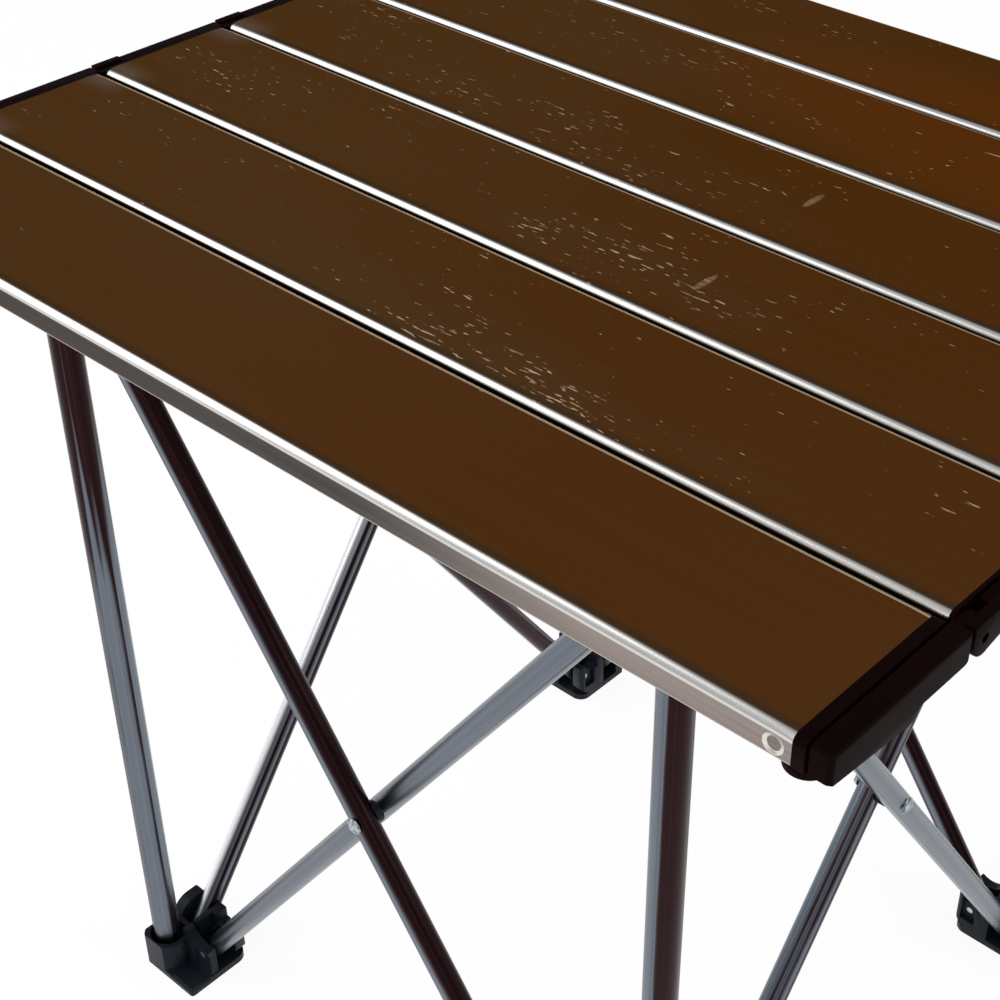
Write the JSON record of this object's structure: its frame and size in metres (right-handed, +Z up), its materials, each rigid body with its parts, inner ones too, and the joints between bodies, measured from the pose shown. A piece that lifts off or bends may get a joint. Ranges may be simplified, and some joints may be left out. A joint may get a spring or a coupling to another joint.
{
  "type": "folding camp table",
  "caption": "Low folding table: a roll-up top of hinged metal slats with moulded end caps on a folding four-sided scissor frame with upright corner tubes.",
  "frame": {"origin": "on the floor, under the middle of the table's bounding box", "axes": "+X along the slats, +Y across them from the near side to the far side, +Z up"},
  "size_m": [0.408, 0.3434, 0.362],
  "materials": {
    "brown_anodised": "satin brown anodised sheet",
    "bare_aluminium": "bright drawn tube",
    "black_plastic": "moulded, fine grain",
    "pin_steel": "plain steel"
  },
  "bodies": {
    "foot_near_left": {"foot_near_left": "black_plastic", "foot_pins_near_left": "pin_steel"},
    "hub_near_left": {"hub_near_left": "black_plastic", "hub_pins_near_left": "pin_steel", "upright_near_left": "bare_aluminium"},
    "foot_near_right": {"foot_near_right": "black_plastic", "foot_pins_near_right": "pin_steel"},
    "hub_near_right": {"hub_near_right": "black_plastic", "hub_pins_near_right": "pin_steel", "upright_near_right": "bare_aluminium"},
    "foot_far_right": {"foot_far_right": "black_plastic", "foot_pins_far_right": "pin_steel"},
    "hub_far_right": {"hub_far_right": "black_plastic", "hub_pins_far_right": "pin_steel", "upright_far_right": "bare_aluminium"},
    "foot_far_left": {"foot_far_left": "black_plastic", "foot_pins_far_left": "pin_steel"},
    "hub_far_left": {"hub_far_left": "black_plastic", "hub_pins_far_left": "pin_steel", "upright_far_left": "bare_aluminium"},
    "outer_arm_near": {"outer_arm_near": "bare_aluminium", "rivet_near": "bare_aluminium", "spacer_near": "black_plastic"},
    "inner_arm_near": {"inner_arm_near": "bare_aluminium"},
    "outer_arm_right": {"outer_arm_right": "bare_aluminium", "rivet_right": "bare_aluminium", "spacer_right": "black_plastic"},
    "inner_arm_right": {"inner_arm_right": "bare_aluminium"},
    "outer_arm_far": {"outer_arm_far": "bare_aluminium", "rivet_far": "bare_aluminium", "spacer_far": "black_plastic"},
    "inner_arm_far": {"inner_arm_far": "bare_aluminium"},
    "outer_arm_left": {"outer_arm_left": "bare_aluminium", "rivet_left": "bare_aluminium", "spacer_left": "black_plastic"},
    "inner_arm_left": {"inner_arm_left": "bare_aluminium"},
    "slat_1": {"slat_1": "brown_anodised", "slat_caps_1": "black_plastic"},
    "slat_2": {"slat_2": "brown_anodised", "slat_caps_2": "black_plastic", "hinge_pins_1": "pin_steel"},
    "slat_3": {"slat_3": "brown_anodised", "slat_caps_3": "black_plastic", "hinge_pins_2": "pin_steel"},
    "slat_4": {"slat_4": "brown_anodised", "slat_caps_4": "black_plastic", "hinge_pins_3": "pin_steel"},
    "slat_5": {"slat_5": "brown_anodised", "slat_caps_5": "black_plastic", "hinge_pins_4": "pin_steel"},
    "slat_6": {"slat_6": "brown_anodised", "slat_caps_6": "black_plastic", "hinge_pins_5": "pin_steel"}
  },
  "joints": [
    {"name": "frame_fold", "type": "hinge", "parent": "foot_near_left", "child": "inner_arm_near", "pos_m": [-0.1137, -0.1191, 0.0121], "axis": [0, -1, 0], "range_deg": [0, 32.7]},
    {"name": "near_crossing", "type": "hinge", "parent": "inner_arm_near", "child": "outer_arm_near", "pos_m": [0, -0.1242, 0.17205], "axis": [0, 1, 0], "range_deg": [0, 65.4]},
    {"name": "near_right_hub_turn", "type": "hinge", "parent": "inner_arm_near", "child": "hub_near_right", "pos_m": [0.1137, -0.1191, 0.332], "axis": [0, 1, 0], "range_deg": [0, 32.7]},
    {"name": "near_right_foot_turn", "type": "hinge", "parent": "outer_arm_near", "child": "foot_near_right", "pos_m": [0.1137, -0.1293, 0.0121], "axis": [0, -1, 0], "range_deg": [0, 32.7]},
    {"name": "near_left_hub_turn", "type": "hinge", "parent": "outer_arm_near", "child": "hub_near_left", "pos_m": [-0.1137, -0.1293, 0.332], "axis": [0, -1, 0], "range_deg": [0, 32.7]},
    {"name": "left_arm_swing", "type": "hinge", "parent": "foot_near_left", "child": "outer_arm_left", "pos_m": [-0.1293, -0.1137, 0.0121], "axis": [1, 0, 0], "range_deg": [0, 32.7]},
    {"name": "left_crossing", "type": "hinge", "parent": "outer_arm_left", "child": "inner_arm_left", "pos_m": [-0.1242, 0, 0.17205], "axis": [-1, 0, 0], "range_deg": [0, 65.4]},
    {"name": "far_left_hub_turn", "type": "hinge", "parent": "outer_arm_left", "child": "hub_far_left", "pos_m": [-0.1293, 0.1137, 0.332], "axis": [-1, 0, 0], "range_deg": [0, 32.7]},
    {"name": "far_left_foot_turn", "type": "hinge", "parent": "inner_arm_left", "child": "foot_far_left", "pos_m": [-0.1191, 0.1137, 0.0121], "axis": [1, 0, 0], "range_deg": [0, 32.7]},
    {"name": "right_arm_swing", "type": "hinge", "parent": "foot_near_right", "child": "inner_arm_right", "pos_m": [0.1191, -0.1137, 0.0121], "axis": [1, 0, 0], "range_deg": [0, 32.7]},
    {"name": "right_crossing", "type": "hinge", "parent": "inner_arm_right", "child": "outer_arm_right", "pos_m": [0.1242, 0, 0.17205], "axis": [-1, 0, 0], "range_deg": [0, 65.4]},
    {"name": "far_right_hub_turn", "type": "hinge", "parent": "inner_arm_right", "child": "hub_far_right", "pos_m": [0.1191, 0.1137, 0.332], "axis": [-1, 0, 0], "range_deg": [0, 32.7]},
    {"name": "far_right_foot_turn", "type": "hinge", "parent": "outer_arm_right", "child": "foot_far_right", "pos_m": [0.1293, 0.1137, 0.0121], "axis": [1, 0, 0], "range_deg": [0, 32.7]},
    {"name": "far_arm_swing", "type": "hinge", "parent": "foot_far_right", "child": "inner_arm_far", "pos_m": [0.1137, 0.1191, 0.0121], "axis": [0, 1, 0], "range_deg": [0, 32.7]},
    {"name": "far_crossing", "type": "hinge", "parent": "inner_arm_far", "child": "outer_arm_far", "pos_m": [0, 0.1242, 0.17205], "axis": [0, -1, 0], "range_deg": [0, 65.4]},
    {"name": "top_lift", "type": "slide", "parent": "hub_near_left", "child": "slat_3", "axis": [0, 0, 1], "range_m": [0, 0.42]},
    {"name": "slat_hinge_2", "type": "hinge", "parent": "slat_3", "child": "slat_2", "pos_m": [0, -0.052, 0.356], "axis": [1, 0, 0], "range_deg": [0, 57]},
    {"name": "slat_hinge_1", "type": "hinge", "parent": "slat_2", "child": "slat_1", "pos_m": [0, -0.1095, 0.356], "axis": [1, 0, 0], "range_deg": [0, 57]},
    {"name": "slat_hinge_3", "type": "hinge", "parent": "slat_3", "child": "slat_4", "pos_m": [0, 0.0055, 0.356], "axis": [-1, 0, 0], "range_deg": [0, 57]},
    {"name": "slat_hinge_4", "type": "hinge", "parent": "slat_4", "child": "slat_5", "pos_m": [0, 0.063, 0.356], "axis": [-1, 0, 0], "range_deg": [0, 57]},
    {"name": "slat_hinge_5", "type": "hinge", "parent": "slat_5", "child": "slat_6", "pos_m": [0, 0.1205, 0.356], "axis": [-1, 0, 0], "range_deg": [0, 57]}
  ],
  "couplings": [
    {"joint": "near_crossing", "follows": "frame_fold", "ratio": 2},
    {"joint": "near_right_hub_turn", "follows": "frame_fold", "ratio": 1},
    {"joint": "near_right_foot_turn", "follows": "frame_fold", "ratio": 1},
    {"joint": "near_left_hub_turn", "follows": "frame_fold", "ratio": 1},
    {"joint": "left_arm_swing", "follows": "frame_fold", "ratio": 1},
    {"joint": "left_crossing", "follows": "frame_fold", "ratio": 2},
    {"joint": "far_left_hub_turn", "follows": "frame_fold", "ratio": 1},
    {"joint": "far_left_foot_turn", "follows": "frame_fold", "ratio": 1},
    {"joint": "right_arm_swing", "follows": "frame_fold", "ratio": 1},
    {"joint": "right_crossing", "follows": "frame_fold", "ratio": 2},
    {"joint": "far_right_hub_turn", "follows": "frame_fold", "ratio": 1},
    {"joint": "far_right_foot_turn", "follows": "frame_fold", "ratio": 1},
    {"joint": "far_arm_swing", "follows": "frame_fold", "ratio": 1},
    {"joint": "far_crossing", "follows": "frame_fold", "ratio": 2},
    {"joint": "slat_hinge_2", "follows": "top_lift", "rad_per_m": 2.3684},
    {"joint": "slat_hinge_1", "follows": "top_lift", "rad_per_m": 2.3684},
    {"joint": "slat_hinge_3", "follows": "top_lift", "rad_per_m": 2.3684},
    {"joint": "slat_hinge_4", "follows": "top_lift", "rad_per_m": 2.3684},
    {"joint": "slat_hinge_5", "follows": "top_lift", "rad_per_m": 2.3684}
  ]
}
